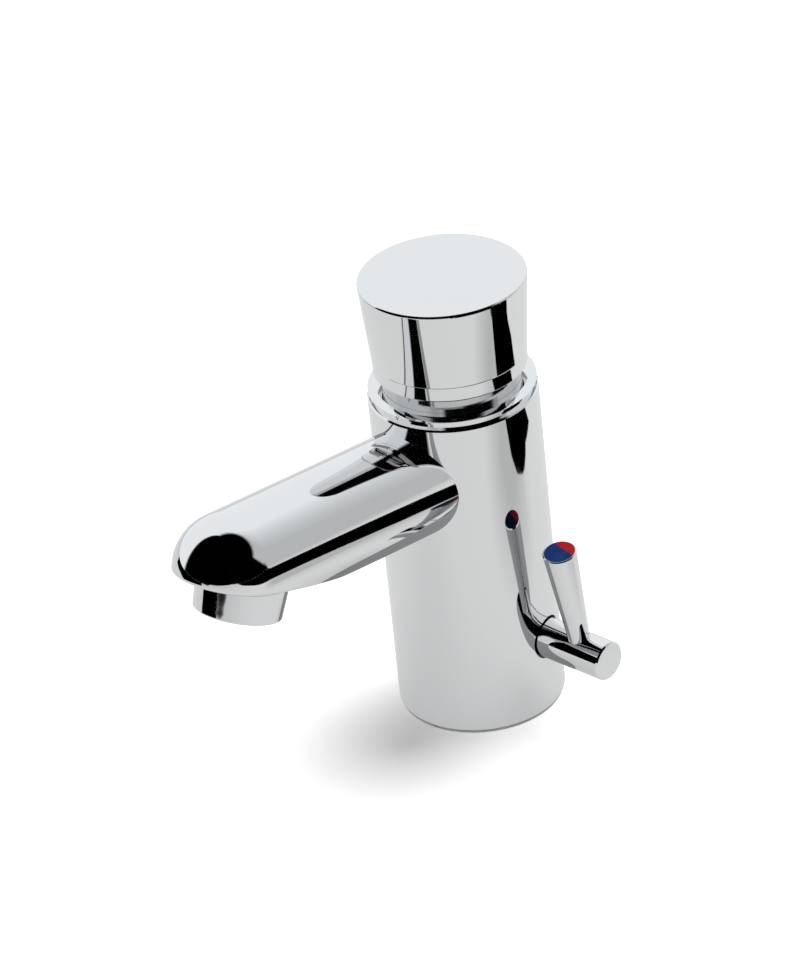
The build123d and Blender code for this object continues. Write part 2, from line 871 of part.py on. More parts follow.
def moving_disc():
    """Ceramic disc with a half ring port in front of the two feeds and a slot for the spindle's key."""
    end = moving_disc_start + disc_thickness
    solid = rod(disc_r, moving_disc_start, end)
    half_ring = sleeve(mixing_slot_outer_r, mixing_slot_inner_r, moving_disc_start - overrun, end + overrun)
    upper = Pos(0, disc_r, (moving_disc_start + end) / 2) * Box(
        4 * disc_r, 2 * disc_r, 4 * overrun
    )
    slot_floor = end - drive_slot_depth
    slot = Pos(0, -disc_r / 2, 0) * drive_key(drive_slot_length, drive_slot_width, slot_floor, end + overrun)
    return valve_plane * (lever_turn() * (solid - (half_ring & upper) - slot))


def mixing_spindle():
    """Key, plate, waist, flange, bearing and the tip that the arm is fixed to."""
    waist_start = spindle_start + spindle_plate_thickness
    bearing_start = spindle_flange_start + spindle_flange_thickness
    tip_start = arm_start
    solid = turned(
        (0, spindle_start),
        (spindle_plate_r, spindle_start),
        (spindle_plate_r, waist_start),
        (spindle_waist_r, waist_start),
        (spindle_waist_r, spindle_flange_start),
        (spindle_flange_r, spindle_flange_start),
        (spindle_flange_r, bearing_start),
        (spindle_r, bearing_start),
        (spindle_r, tip_start),
        (spindle_tip_r, tip_start),
        (spindle_tip_r, tip_start + spindle_tip_length),
        (0, tip_start + spindle_tip_length),
    )
    # Waterway through the plate, in line with the half ring port of the disc.
    port_place = (mixing_slot_inner_r + mixing_slot_outer_r) / 2
    for turn in (45, 90, 135):
        port = rod(port_r / 2, spindle_start - overrun, waist_start + overrun)
        solid -= Rot(Z=turn) * Pos(port_place, 0, 0) * port
    key_start = spindle_start - drive_slot_depth
    key = Pos(0, -disc_r / 2, 0) * drive_key(
        drive_slot_length - 2 * manifold_fit, drive_slot_width - 2 * manifold_fit, key_start, spindle_start
    )
    flat = Pos(0, -2 * spindle_tip_r + grub_flat_depth, grub_place) * Box(
        2 * spindle_tip_r, 2 * spindle_tip_r, 4 * grub_r
    )
    return valve_plane * (lever_turn() * (solid + key - flat))


def thrust_washer():
    start = gland_start - thrust_washer_thickness
    end = gland_start - disc_running_gap
    return valve_plane * sleeve(gland_r, spindle_r + running_clearance, start + disc_running_gap, end)


gland_groove_floor = gland_start + gland_groove_start
gland_groove_r = spindle_r + running_clearance + gland_groove_depth


def spindle_gland():
    """Nut in the mouth of the cross bore, slotted for its key, with a groove for the seal."""
    bore_r = spindle_r + running_clearance
    groove_end = gland_groove_floor + gland_groove_width
    solid = turned(
        (bore_r, gland_start),
        (gland_r, gland_start),
        (gland_r, gland_face),
        (bore_r, gland_face),
        (bore_r, groove_end),
        (gland_groove_r, groove_end),
        (gland_groove_r, gland_groove_floor),
        (bore_r, gland_groove_floor),
    )
    slot = Pos(0, 0, gland_face) * Box(4 * gland_r, gland_slot_width, 2 * gland_slot_depth)
    return valve_plane * (solid - slot)


def gland_seal():
    outer_r = gland_groove_r - assembly_clearance
    end = gland_groove_floor + gland_groove_width
    return valve_plane * sleeve(outer_r, spindle_r + running_clearance, gland_groove_floor, end)


# Arm and temperature lever, set at the lever's rest angle


def lever_arm():
    solid = valve_plane * rod(arm_r, arm_start, arm_reach)
    solid = chamfer(solid.edges().group_by(Axis.X)[-1], arm_edge)
    tip_end = arm_start + spindle_tip_length + assembly_clearance
    solid -= valve_plane * rod(spindle_tip_r + assembly_clearance, arm_start - overrun, tip_end)
    solid -= lever_plane * rod(lever_spigot_r + assembly_clearance, arm_r - lever_spigot_length, arm_r + overrun)
    grub_hole = rod(grub_r + assembly_clearance, -arm_r - overrun, 0)
    solid -= lever_plane * (Pos(grub_place - lever_place, 0, 0) * grub_hole)
    return solid


def temperature_lever():
    """Tapered stick with a spigot in the arm, a saddle over it and a recess on top for the inlays."""
    taper = turned(
        (0, arm_r / 2),
        (lever_foot_r, arm_r / 2),
        (lever_foot_r, arm_r - lever_edge),
        (lever_top_r, lever_length - lever_edge),
        (lever_top_r - lever_edge, lever_length),
        (0, lever_length),
    )
    saddle = Plane.YZ * Cylinder(arm_r + assembly_clearance, 4 * lever_top_r)
    spigot = rod(lever_spigot_r, arm_r - lever_spigot_length + assembly_clearance, arm_r + assembly_clearance)
    recess = rod(index_r + assembly_clearance, lever_length - index_thickness, lever_length + overrun)
    return lever_plane * (taper - saddle + spigot - recess)


def index_inlay(front):
    """One part of the round inlay; the split lies behind the middle of the lever's top."""
    disc = rod(index_r, lever_length - index_thickness, lever_length)
    rear = Rot(Z=index_turn) * Pos(0, index_split, lever_length) * Box(
        4 * index_r, 4 * index_r, 4 * index_thickness, align=(Align.CENTER, Align.MIN, Align.CENTER)
    )
    fore = Rot(Z=index_turn) * Pos(0, index_split - index_gap, lever_length) * Box(
        4 * index_r, 4 * index_r, 4 * index_thickness, align=(Align.CENTER, Align.MAX, Align.CENTER)
    )
    return lever_plane * (disc & (fore if front else rear))


def index_blue():
    return index_inlay(True)


def index_red():
    return index_inlay(False)


def arm_grub_screw():
    """Socket set screw under the arm; it bears on the flat of the spindle's tip."""
    outer = -arm_r + grub_inset
    inner = -spindle_tip_r + grub_flat_depth
    solid = rod(grub_r, outer, inner) - hexagon(grub_socket, outer - overrun, outer + grub_socket_depth)
    return lever_plane * (Pos(grub_place - lever_place, 0, 0) * solid)


pieces = {
    "body": body,
    "base_seal": base_seal,
    "inlet_manifold": inlet_manifold,
    "manifold_gasket": manifold_gasket,
    "manifold_screws": manifold_screws,
    "inlet_filters": inlet_filters,
    "collar_ring": collar_ring,
    "cartridge_housing": cartridge_housing,
    "cartridge_cap": cartridge_cap,
    "cartridge_seal_lower": lambda: cartridge_seal(chamber_floor + cartridge_foot),
    "cartridge_seal_upper": lambda: cartridge_seal(chamber_floor + upper_seal_height),
    "stem_bush": stem_bush,
    "stem_seal": stem_seal,
    "stem": stem,
    "piston": piston,
    "piston_lip_seal": piston_lip_seal,
    "stem_circlip": stem_circlip,
    "return_spring": return_spring,
    "metering_pin": metering_pin,
    "valve_head": valve_head,
    "valve_washer": valve_washer,
    "valve_nut": valve_nut,
    "push_button": push_button,
    "button_insert": button_insert,
    "button_screw": button_screw,
    "button_snap_ring": button_snap_ring,
    "aerator_housing": aerator_housing,
    "aerator_insert": aerator_insert,
    "aerator_washer": aerator_washer,
    "spindle_gland": spindle_gland,
    "gland_seal": gland_seal,
    "mixing_spindle": mixing_spindle,
    "thrust_washer": thrust_washer,
    "moving_disc": moving_disc,
    "fixed_disc": fixed_disc,
    "disc_base": disc_base,
    "disc_seals": disc_seals,
    "lever_arm": lever_arm,
    "arm_grub_screw": arm_grub_screw,
    "temperature_lever": temperature_lever,
    "index_blue": index_blue,
    "index_red": index_red,
}

os.makedirs("parts", exist_ok=True)
for name, make in pieces.items():
    export_step(make(), f"parts/{name}.step")
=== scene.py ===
"""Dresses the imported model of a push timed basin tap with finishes, fine hardware and a studio."""
import json
from math import cos, pi, radians, sin

import bpy
from bpy.props import FloatProperty, FloatVectorProperty, IntProperty, PointerProperty
from mathutils import Matrix, Vector


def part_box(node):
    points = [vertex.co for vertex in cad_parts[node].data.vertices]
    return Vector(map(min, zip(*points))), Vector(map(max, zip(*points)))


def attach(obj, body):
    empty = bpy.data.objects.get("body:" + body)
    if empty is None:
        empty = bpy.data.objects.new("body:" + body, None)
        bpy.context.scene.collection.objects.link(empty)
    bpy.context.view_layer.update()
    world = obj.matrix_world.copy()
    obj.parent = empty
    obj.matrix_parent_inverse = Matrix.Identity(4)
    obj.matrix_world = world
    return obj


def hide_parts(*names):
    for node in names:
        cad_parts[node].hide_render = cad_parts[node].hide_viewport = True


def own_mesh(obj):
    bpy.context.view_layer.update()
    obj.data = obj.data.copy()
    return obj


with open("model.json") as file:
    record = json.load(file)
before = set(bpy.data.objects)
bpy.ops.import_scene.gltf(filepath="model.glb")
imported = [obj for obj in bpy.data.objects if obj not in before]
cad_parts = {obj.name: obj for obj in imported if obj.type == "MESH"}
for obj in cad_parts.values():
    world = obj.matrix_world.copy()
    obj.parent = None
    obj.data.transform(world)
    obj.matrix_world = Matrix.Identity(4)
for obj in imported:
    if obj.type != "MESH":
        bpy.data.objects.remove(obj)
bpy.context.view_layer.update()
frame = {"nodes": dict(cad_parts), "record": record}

bl_info = {
    "name": "Push timed tap",
    "version": (1, 0, 0),
    "blender": (4, 5, 0),
    "location": "View3D > Sidebar > Tap",
    "description": "Finishes and fine hardware of a push timed basin tap, around its packed model",
    "category": "Object",
}

MM = 0.001
UP = Vector((0, 0, 1))
BLACK = (0, 0, 0, 1)
WHITE = (1, 1, 1, 1)

# Sockets of a Mix node for colours
MIX_SHARE, MIX_FIRST, MIX_SECOND, MIX_RESULT = 0, 6, 7, 2

# Width and height of the photograph in pixels
PHOTO_SIZE = (800, 973)

# Floor with its shadow in front of the tap, cast by the softbox and deepened by painted shadow, and a spot of
# painted shade that only the plate shows
FLOOR_HALF = 3.0
# Middle and core of the painted shadow, where the floor's lift is smallest
PAINTED_SHADOW_MIDDLE = (1 * MM, -36 * MM, 0)
PAINTED_SHADOW_CORE = 2 * MM
# Painted shade: a darker spot of floor beside the tap, which only the plate mirrors and which no thing shades
PAINTED_SHADE_MIDDLE = (165 * MM, 50 * MM, 0)
PAINTED_SHADE_CORE = 25 * MM
PAINTED_SHADE_EDGE = 95 * MM

# Outlines of the black cards, in metres, and their height over the floor
CARDS = {
    "card_right": [
        (0.111, 0.108), (0.127, 0.090), (0.140, 0.074), (0.158, 0.066), (0.190, 0.064), (0.235, 0.030),
        (0.30, -0.05), (0.75, -0.45), (2.9, -1.9), (2.9, 2.0), (0.19, 0.165), (0.128, 0.157),
        (0.085, 0.158), (0.110, 0.130),
    ],
    "card_front": [(-0.59, -0.20), (-2.9, -0.6), (-2.9, -2.9), (-0.5, -2.9), (-0.12, -0.69)],
}
CARD_LIFT = 0.5 * MM

# Softbox
LAMP_PLACE = Vector((0.14, 0.42, 1.05))
LAMP_TARGET = Vector((0, -0.03, 0.05))
LAMP_SIDE = 1.0

# Surround: its edges, the lean of the dark side's end, the dim side, and the dark that the neck's gap mirrors
SOFT_EDGE = radians(5)
SHARP_EDGE = radians(3)
END_LEAN = 0.5
DIM_START, DIM_END = radians(50), radians(90)
NECK_SIDE = (0.79, -0.26, 0.56)
NECK_SPREAD = radians(39)
MIRRORED_TINT = (0.97, 0.99, 1, 1)

# Glossy depth over which a ray has met the plate more than once, and what the surround shines with then
FIRST_MIRROR = 1.5
SECOND_MIRROR_LIGHT = 0.9

# Nodes by finish
CAST_CHROME = ["body"]
TURNED_CHROME = ["push_button", "collar_ring", "aerator_housing"]
# Painted shade: the cartridge's neck is plated darker and duller than the chrome, to stand for the shade in
# the gap under the button
PAINTED_SHADE_PLATE = ["cartridge_housing"]
BLACK_PLATE = ["spindle_gland"]
ROD_CHROME = ["lever_arm", "temperature_lever"]
BRASS = ["inlet_manifold", "cartridge_cap", "valve_head", "valve_nut"]
BRASS_ACROSS = ["mixing_spindle"]
STEEL = [
    "manifold_screws", "stem", "stem_circlip", "return_spring", "metering_pin", "button_screw",
    "button_snap_ring", "arm_grub_screw",
]
FOOT_RUBBER = ["base_seal"]
RUBBER = [
    "manifold_gasket", "cartridge_seal_lower", "cartridge_seal_upper", "stem_seal",
    "piston_lip_seal", "valve_washer", "aerator_washer", "gland_seal", "disc_seals",
]
WHITE_PLASTIC = ["inlet_filters", "stem_bush", "piston", "button_insert", "thrust_washer", "disc_base"]
GREY_PLASTIC = ["aerator_insert"]
CERAMIC = ["moving_disc", "fixed_disc"]


def colour_property(name, description, default):
    """A colour that a user would change."""
    return FloatVectorProperty(
        name=name, description=description, default=default, subtype="COLOR", size=3, min=0, max=1
    )


def length_property(name, description, default, lowest=0):
    """A length in metres."""
    return FloatProperty(
        name=name, description=description, default=default, unit="LENGTH", min=lowest, precision=5
    )


def angle_property(name, description, degrees):
    """An angle."""
    return FloatProperty(name=name, description=description, default=radians(degrees), subtype="ANGLE")


def share_property(name, description, default):
    """A plain factor from 0 to 1."""
    return FloatProperty(name=name, description=description, default=default, subtype="FACTOR", min=0, max=1)


class PlatingSettings(bpy.types.PropertyGroup):
    """Chrome plate."""

    colour: colour_property("Chrome", "Colour of the bright chrome plate", (0.79, 0.80, 0.81))
    # Painted shade: the neck's darker plate stands for the shade in the gap under the button
    neck_shade_colour: colour_property("Neck plate with painted shade", "Colour of the cartridge's dull plate", (0.55, 0.56, 0.57))
    gland_colour: colour_property("Black nickel", "Colour of the gland's dark plate", (0.10, 0.10, 0.105))
    roughness: share_property("Roughness", "Roughness of the polished plate", 0.035)
    ripple_size: length_property("Ripple size", "Width of the waves left by buffing the casting", 14 * MM)
    ripple_height: length_property("Ripple height", "Height of the waves left by buffing", 0.0004 * MM)
    line_pitch: length_property("Line pitch", "Distance of the finest polishing lines", 0.35 * MM)
    line_height: length_property("Line height", "Depth of the finest polishing lines", 0.00003 * MM)
    mark_size: length_property("Mark size", "Width of dried water marks", 4.5 * MM)
    mark_amount: share_property("Mark amount", "How much dried water marks dull the plate", 0.05)


class MetalSettings(bpy.types.PropertyGroup):
    """Bare brass and stainless steel."""

    brass: colour_property("Brass", "Colour of turned brass", (0.72, 0.55, 0.29))
    brass_tarnish: colour_property("Tarnish", "Colour of brass that water has darkened", (0.45, 0.30, 0.14))
    brass_roughness: share_property("Brass roughness", "Roughness of turned brass", 0.26)
    steel: colour_property("Steel", "Colour of stainless steel", (0.60, 0.60, 0.60))
    steel_stain: colour_property("Steel stain", "Colour of handling marks on steel", (0.48, 0.47, 0.45))
    steel_roughness: share_property("Steel roughness", "Roughness of drawn steel", 0.24)
    feed: length_property("Tool feed", "Distance of the turning grooves", 0.22 * MM)
    groove: length_property("Groove depth", "Depth of the turning grooves", 0.004 * MM)


class MouldedSettings(bpy.types.PropertyGroup):
    """Rubber, plastics and ceramic."""

    rubber: colour_property("Rubber", "Colour of the seals", (0.028, 0.028, 0.030))
    foot: colour_property("Foot seal", "Colour of the seal under the body", (0.55, 0.55, 0.55))
    white: colour_property("White plastic", "Colour of acetal parts", (0.80, 0.80, 0.77))
    grey: colour_property("Grey plastic", "Colour of the flow straightener", (0.42, 0.43, 0.45))
    ceramic: colour_property("Ceramic", "Colour of the mixing discs", (0.86, 0.84, 0.79))
    cold: colour_property("Cold mark", "Colour of the blue inlay", (0.0, 0.036, 0.200))
    cold_shade: colour_property("Cold mark shade", "Blue of the inlay's darker patches", (0.0, 0.016, 0.080))
    hot: colour_property("Hot mark", "Colour of the red inlay", (0.50, 0.004, 0.008))
    hot_shade: colour_property("Hot mark shade", "Red of the inlay's darker patches", (0.22, 0.002, 0.008))
    grain: length_property("Grain", "Width of the moulded grain", 0.18 * MM)
    grain_height: length_property("Grain height", "Height of the moulded grain", 0.004 * MM)


class ThreadSettings(bpy.types.PropertyGroup):
    """Threads under the base."""

    inlet_pitch: length_property("Inlet pitch", "Pitch of the M10x1 hose threads", 1.0 * MM)
    stud_pitch: length_property("Stud pitch", "Pitch of the M8 stud thread", 1.25 * MM)
    depth_share: share_property("Thread depth", "Depth of a thread as a share of its pitch", 0.54)
    steps: IntProperty(
        name="Steps", description="Steps of each turn of a thread", default=48, min=16, max=128
    )


class StudioSettings(bpy.types.PropertyGroup):
    """Camera, floor, lamp and surround."""

    azimuth: angle_property("Azimuth", "Camera's direction", 45)
    elevation: angle_property("Elevation", "Camera's height angle", 31.525)
    roll: angle_property("Roll", "Lean of the photograph", 6.129)
    distance: length_property("Distance", "From the camera to its target", 1.5)
    focal_pixels: FloatProperty(
        name="Focal length", description="In pixels of the photograph", default=5108.83, min=1
    )
    target_height: length_property("Target height", "Height of the camera's target", 70 * MM)
    shift_right: length_property("Target shift", "Along the picture's width", -18.46 * MM, lowest=-1)
    shift_up: length_property("Target rise", "Along the picture's height", 0.69 * MM, lowest=-1)
    floor: colour_property("Floor", "Colour of the floor", (0.95, 0.95, 0.95))
    floor_lift: share_property("Floor lift", "How much whiter than lit the floor looks to the camera", 0.65)
    # Painted shadow: near the tap the floor is lifted less, so its shadow looks darker and more compact than
    # the softbox casts it
    floor_lift_in_painted_shadow: share_property("Floor lift at the tap", "The same in the middle of the shadow", 0.05)
    floor_lift_width: length_property(
        "Floor lift width", "From that middle to where the full lift starts", 49 * MM
    )
    floor_in_metal: colour_property(
        "Floor in metal", "Colour of the floor as the plate shows it", (0.36, 0.36, 0.355)
    )
    floor_lift_in_metal: share_property("Floor lift in metal", "How much whiter it looks there", 0.48)
    # Painted shade in the floor as the plate mirrors it
    floor_painted_shade: share_property("Floor shade", "Share of that lift in the middle of the shaded spot", 0.45)
    # Painted reflection: the floor looks darker in a second mirror
    floor_again: share_property("Floor mirrored again", "What a second mirror leaves of the floor", 0.45)
    key: FloatProperty(
        name="Key light", description="Power of the overhead softbox", default=7.4, min=0, unit="POWER"
    )
    sky: FloatProperty(name="Surround", description="Strength of the studio's surround", default=0.47, min=0)
    dim: share_property("Dim side", "Brightness of the surround beside the dark side", 0.58)
    dark_start: angle_property("Dark side start", "Where the dark side behind the camera starts", -142)
    dark_end: angle_property("Dark side end", "Where the dark side behind the camera ends", 32)
    dark_lean: FloatProperty(
        name="Dark side lean", description="How fast the dark side widens with height", default=0.387
    )
    dark_azimuth: angle_property("Dark canopy azimuth", "Direction of the dark canopy's middle", -35)
    dark_elevation: angle_property("Dark canopy elevation", "Height angle of the canopy's middle", 58.4)
    dark_spread: angle_property("Dark canopy spread", "Angle from the canopy's middle to its edge", 45.6)
    core_azimuth: angle_property(
        "Dark core azimuth", "Direction of the part that stays dark when it is mirrored again", -78
    )
    core_elevation: angle_property("Dark core elevation", "Height angle of that part's middle", 52)
    core_spread: angle_property("Dark core spread", "Angle from that part's middle to its edge", 20)


# Node helpers

def add_node(tree, kind, sockets=(), **attributes):
    """A node with its attributes set and its sockets given values or linked."""
    node = tree.nodes.new(kind)
    for name, value in attributes.items():
        setattr(node, name, value)
    for name, value in dict(sockets).items():
        if isinstance(value, bpy.types.NodeSocket):
            tree.links.new(value, node.inputs[name])
        else:
            node.inputs[name].default_value = value
    return node


def maths(tree, operation, first, second=None):
    """The output of a Math node."""
    values = [value for value in (first, second) if value is not None]
    node = add_node(tree, "ShaderNodeMath", enumerate(values), operation=operation)
    return node.outputs[0]


def vector_maths(tree, operation, first, second=None, output=0):
    """An output of a Vector Math node."""
    values = [value for value in (first, second) if value is not None]
    node = add_node(tree, "ShaderNodeVectorMath", enumerate(values), operation=operation)
    return node.outputs[output]


def noise(tree, place, scale, detail):
    """Smooth noise from 0 to 1, whose lumps are one over scale wide."""
    node = add_node(tree, "ShaderNodeTexNoise", {"Vector": place, "Scale": scale, "Detail": detail})
    return node.outputs["Fac"]


def spread(tree, value, low, high, to_low=0.0, to_high=1.0):
    """value from low to high, spread over another range and kept in it."""
    sockets = {"Value": value, "From Min": low, "From Max": high, "To Min": to_low, "To Max": to_high}
    return add_node(tree, "ShaderNodeMapRange", sockets, clamp=True).outputs["Result"]


def blend_colours(tree, share, first, second):
    """A mix of two colours."""
    node = add_node(tree, "ShaderNodeMix", data_type="RGBA")
    for index, value in ((MIX_SHARE, share), (MIX_FIRST, first), (MIX_SECOND, second)):
        if isinstance(value, bpy.types.NodeSocket):
            tree.links.new(value, node.inputs[index])
        else:
            node.inputs[index].default_value = value
    return node.outputs[MIX_RESULT]


def start_group(name, inputs, outputs):
    """An empty shader node group with named sockets, and its input and output nodes."""
    tree = bpy.data.node_groups.new(name, "ShaderNodeTree")
    for label, kind in inputs:
        tree.interface.new_socket(label, in_out="INPUT", socket_type="NodeSocket" + kind)
    for label, kind in outputs:
        tree.interface.new_socket(label, in_out="OUTPUT", socket_type="NodeSocket" + kind)
    return tree, tree.nodes.new("NodeGroupInput").outputs, tree.nodes.new("NodeGroupOutput").inputs


def rgba(colour):
    """A colour with its alpha."""
    return (*colour, 1.0)


# Shared effects

def plating_group():
    """Bright plate: buffing waves, polishing lines and dried water marks."""
    name = "Plating"
    if name in bpy.data.node_groups:
        return bpy.data.node_groups[name]
    tree, given, result = start_group(
        name,
        [
            ("Plate", "Color"), ("Roughness", "Float"), ("Wave scale", "Float"), ("Wave height", "Float"),
            ("Line scale", "Float"), ("Line height", "Float"),
            ("Mark scale", "Float"), ("Mark amount", "Float"),
        ],
        [("Color", "Color"), ("Roughness", "Float"), ("Height", "Float")],
    )
    ring_radius, ring_width = 0.34, 0.05
    patch_start, patch_full = 0.52, 0.70
    haze_share, pale_share = 0.35, 1.5
    line_stretch = (0.12, 0.12, 1.0)
    dried_film = (0.86, 0.87, 0.88, 1)
    place = add_node(tree, "ShaderNodeTexCoord").outputs["Object"]
    wave = noise(tree, place, given["Wave scale"], 1.0)
    lines = noise(tree, vector_maths(tree, "MULTIPLY", place, line_stretch), given["Line scale"], 2.0)
    marks = add_node(
        tree, "ShaderNodeTexVoronoi", {"Vector": place, "Scale": given["Mark scale"], "Randomness": 1.0},
        feature="F1",
    ).outputs["Distance"]
    off_ring = maths(tree, "ABSOLUTE", maths(tree, "SUBTRACT", marks, ring_radius))
    ring = spread(tree, off_ring, 0.0, ring_width, 1.0, 0.0)
    where = spread(tree, noise(tree, place, given["Wave scale"], 4.0), patch_start, patch_full)
    dull = maths(tree, "MULTIPLY", maths(tree, "MULTIPLY", ring, where), given["Mark amount"])
    haze = maths(tree, "MULTIPLY", maths(tree, "MULTIPLY", where, haze_share), given["Mark amount"])
    film = maths(tree, "ADD", dull, haze)
    tree.links.new(maths(tree, "ADD", given["Roughness"], film), result["Roughness"])
    pale = maths(tree, "MULTIPLY", film, pale_share)
    tree.links.new(blend_colours(tree, pale, given["Plate"], dried_film), result["Color"])
    height = maths(
        tree, "ADD", maths(tree, "MULTIPLY", wave, given["Wave height"]),
        maths(tree, "MULTIPLY", lines, given["Line height"]),
    )
    tree.links.new(height, result["Height"])
    return tree


def turning_group():
    """Tool marks of a lathe round an axis, with tarnish."""
    name = "Turning marks"
    if name in bpy.data.node_groups:
        return bpy.data.node_groups[name]
    tree, given, result = start_group(
        name,
        [
            ("Metal", "Color"), ("Stain", "Color"), ("Roughness", "Float"), ("Axis", "Vector"),
            ("Centre", "Vector"), ("Grooves per metre", "Float"), ("Groove depth", "Float"),
        ],
        [("Color", "Color"), ("Roughness", "Float"), ("Height", "Float")],
    )
    waver_scale, waver_turns = 900.0, 0.8
    stain_scale, stain_start, stain_full = 260.0, 0.45, 0.75
    stain_roughness = 0.14
    place = add_node(tree, "ShaderNodeTexCoord").outputs["Object"]
    arm = vector_maths(tree, "SUBTRACT", place, given["Centre"])
    along = vector_maths(tree, "DOT_PRODUCT", arm, given["Axis"], "Value")
    out = vector_maths(tree, "LENGTH", vector_maths(tree, "CROSS_PRODUCT", arm, given["Axis"]), None, "Value")
    travel = maths(tree, "MULTIPLY", maths(tree, "ADD", along, out), given["Grooves per metre"])
    waver = maths(tree, "MULTIPLY", noise(tree, place, waver_scale, 2.0), waver_turns)
    groove = maths(tree, "SINE", maths(tree, "MULTIPLY", maths(tree, "ADD", travel, waver), 2 * pi))
    stain = spread(tree, noise(tree, place, stain_scale, 5.0), stain_start, stain_full)
    tree.links.new(blend_colours(tree, stain, given["Metal"], given["Stain"]), result["Color"])
    rough = maths(tree, "ADD", given["Roughness"], maths(tree, "MULTIPLY", stain, stain_roughness))
    tree.links.new(rough, result["Roughness"])
    tree.links.new(maths(tree, "MULTIPLY", groove, given["Groove depth"]), result["Height"])
    return tree


def moulding_group():
    """Moulded grain with a paler or darker bloom."""
    name = "Moulded grain"
    if name in bpy.data.node_groups:
        return bpy.data.node_groups[name]
    tree, given, result = start_group(
        name,
        [
            ("Tone", "Color"), ("Bloom", "Color"), ("Roughness", "Float"), ("Grain scale", "Float"),
            ("Grain height", "Float"), ("Bloom amount", "Float"),
        ],
        [("Color", "Color"), ("Roughness", "Float"), ("Height", "Float")],
    )
    bloom_scale, bloom_start, bloom_full = 320.0, 0.42, 0.72
    grain_roughness = 0.12
    place = add_node(tree, "ShaderNodeTexCoord").outputs["Object"]
    grain = noise(tree, place, given["Grain scale"], 4.0)
    patches = spread(tree, noise(tree, place, bloom_scale, 5.0), bloom_start, bloom_full)
    bloom = maths(tree, "MULTIPLY", patches, given["Bloom amount"])
    tree.links.new(blend_colours(tree, bloom, given["Tone"], given["Bloom"]), result["Color"])
    rough = maths(tree, "ADD", given["Roughness"], maths(tree, "MULTIPLY", grain, grain_roughness))
    tree.links.new(rough, result["Roughness"])
    tree.links.new(maths(tree, "MULTIPLY", grain, given["Grain height"]), result["Height"])
    return tree


def finish_material(name, group, values, metallic=0.0, ior=1.5, gloss=0.5):
    """A material whose colour, roughness and bump come from a shared effect."""
    material = bpy.data.materials.new(name)
    material.use_nodes = True
    tree = material.node_tree
    shader = tree.nodes["Principled BSDF"]
    effect = add_node(tree, "ShaderNodeGroup", node_tree=group)
    for label, value in values.items():
        effect.inputs[label].default_value = value
    bump = add_node(tree, "ShaderNodeBump", {"Height": effect.outputs["Height"], "Distance": 1.0})
    tree.links.new(effect.outputs["Color"], shader.inputs["Base Color"])
    tree.links.new(effect.outputs["Roughness"], shader.inputs["Roughness"])
    tree.links.new(bump.outputs["Normal"], shader.inputs["Normal"])
    shader.inputs["Metallic"].default_value = metallic
    shader.inputs["IOR"].default_value = ior
    shader.inputs["Specular IOR Level"].default_value = gloss
    return material


def plated(name, settings, wave=1.0, lines=1.0, marks=1.0, colour=None, dull=0.0):
    """Bright or dark plate on a polished ground."""
    values = {
        "Plate": rgba(colour or settings.colour),
        "Roughness": settings.roughness + dull,
        "Wave scale": 1 / settings.ripple_size,
        "Wave height": settings.ripple_height * wave,
        "Line scale": 1 / settings.line_pitch,
        "Line height": settings.line_height * lines,
        "Mark scale": 1 / settings.mark_size,
        "Mark amount": settings.mark_amount * marks,
    }
    return finish_material(name, plating_group(), values, metallic=1.0)


def turned(name, metal, stain, roughness, settings, axis=UP, centre=(0, 0, 0)):
    """Metal turned round an axis."""
    values = {
        "Metal": rgba(metal),
        "Stain": rgba(stain),
        "Roughness": roughness,
        "Axis": axis,
        "Centre": centre,
        "Grooves per metre": 1 / settings.feed,
        "Groove depth": settings.groove,
    }
    return finish_material(name, turning_group(), values, metallic=1.0)


def turned_brass(name, settings, **axis):
    """Brass turned round an axis."""
    return turned(name, settings.brass, settings.brass_tarnish, settings.brass_roughness, settings, **axis)


def moulded(name, tone, bloom, settings, roughness, bloom_amount, ior=1.5, gloss=0.5, height=1.0):
    """A moulded or pressed part."""
    values = {
        "Tone": rgba(tone),
        "Bloom": rgba(bloom),
        "Roughness": roughness,
        "Grain scale": 1 / settings.grain,
        "Grain height": settings.grain_height * height,
        "Bloom amount": bloom_amount,
    }
    return finish_material(name, moulding_group(), values, ior=ior, gloss=gloss)


def darker_in_metal(material, share):
    """The material with its colour taken down where the plate mirrors it."""
    tree = material.node_tree
    shader = tree.nodes["Principled BSDF"]
    tone = shader.inputs["Base Color"].links[0].from_socket
    path = add_node(tree, "ShaderNodeLightPath").outputs
    mirrored = maths(tree, "MULTIPLY", path["Is Glossy Ray"], share)
    tree.links.new(blend_colours(tree, mirrored, tone, BLACK), shader.inputs["Base Color"])
    return material


def cover(nodes, material):
    """Gives CAD nodes their finish."""
    for name in nodes:
        piece = frame["nodes"][name]
        if not piece.material_slots:
            piece.data.materials.append(material)
        for place in piece.material_slots:
            place.material = material


def new_piece(name, mesh, body, material):
    """A fine piece that rides on a body of the tap."""
    piece = bpy.data.objects.new(name, mesh)
    bpy.context.scene.collection.objects.link(piece)
    piece.data.materials.append(material)
    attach(piece, body)
    return piece


def middle(node):
    """Middle of a CAD node's box."""
    low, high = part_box(node)
    return (low + high) / 2


# Pieces

